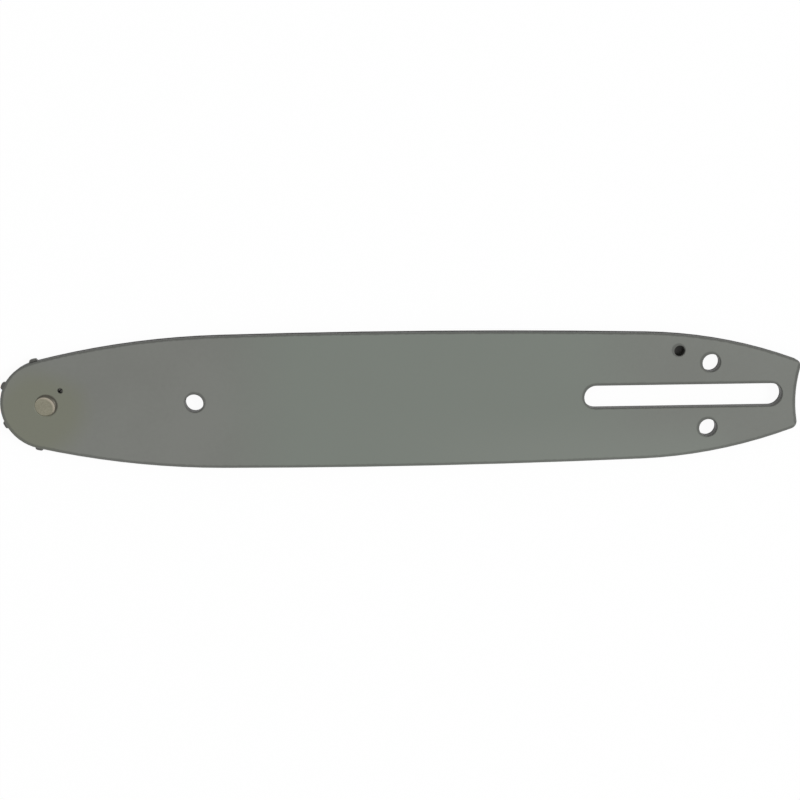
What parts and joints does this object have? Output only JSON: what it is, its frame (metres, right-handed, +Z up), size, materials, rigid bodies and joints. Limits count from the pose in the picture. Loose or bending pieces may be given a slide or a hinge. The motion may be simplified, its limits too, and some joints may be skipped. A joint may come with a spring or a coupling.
{
  "type": "chainsaw guide bar",
  "caption": "Flat laminated chainsaw guide bar with a rounded sprocket nose, a chain groove round its edge and a slotted tail that clamps to the saw.",
  "frame": {"origin": "middle of the bar's length and width, on the surface that the back plate lies on", "axes": "+X from the nose to the tail, +Y towards the rail beside the front plate's oil hole, +Z up out of the front plate"},
  "size_m": [0.3071, 0.0528, 0.0042],
  "materials": {
    "grey_paint": "satin grey paint, worn to darker bare steel along the edges",
    "core_steel": "plain dark rolled steel",
    "wheel_steel": "hardened stamped steel with a film of oil",
    "bearing_steel": "ground bearing steel",
    "rivet_steel": "bare satin rivet head, ground flush"
  },
  "bodies": {
    "bar": {"front_side_plate": "grey_paint", "back_side_plate": "grey_paint", "core_plate": "core_steel", "inner_race": "bearing_steel", "nose_rivet": "rivet_steel"},
    "sprocket": {"nose_sprocket": "wheel_steel"},
    "rollers": {"needle_roller_01": "bearing_steel", "needle_roller_02": "bearing_steel", "needle_roller_03": "bearing_steel", "needle_roller_04": "bearing_steel", "needle_roller_05": "bearing_steel", "needle_roller_06": "bearing_steel", "needle_roller_07": "bearing_steel", "needle_roller_08": "bearing_steel", "needle_roller_09": "bearing_steel", "needle_roller_10": "bearing_steel", "needle_roller_11": "bearing_steel", "needle_roller_12": "bearing_steel", "needle_roller_13": "bearing_steel", "needle_roller_14": "bearing_steel", "needle_roller_15": "bearing_steel", "needle_roller_16": "bearing_steel", "needle_roller_17": "bearing_steel", "needle_roller_18": "bearing_steel", "needle_roller_19": "bearing_steel", "needle_roller_20": "bearing_steel"}
  },
  "joints": [
    {"name": "sprocket_spin", "type": "hinge", "parent": "bar", "child": "sprocket", "pos_m": [-0.1365, 0, 0.0021], "axis": [0, 0, 1], "continuous": true},
    {"name": "roller_orbit", "type": "hinge", "parent": "bar", "child": "rollers", "pos_m": [-0.1365, 0, 0.0021], "axis": [0, 0, 1], "continuous": true}
  ],
  "couplings": [
    {"joint": "roller_orbit", "follows": "sprocket_spin", "ratio": 0.57872}
  ]
}
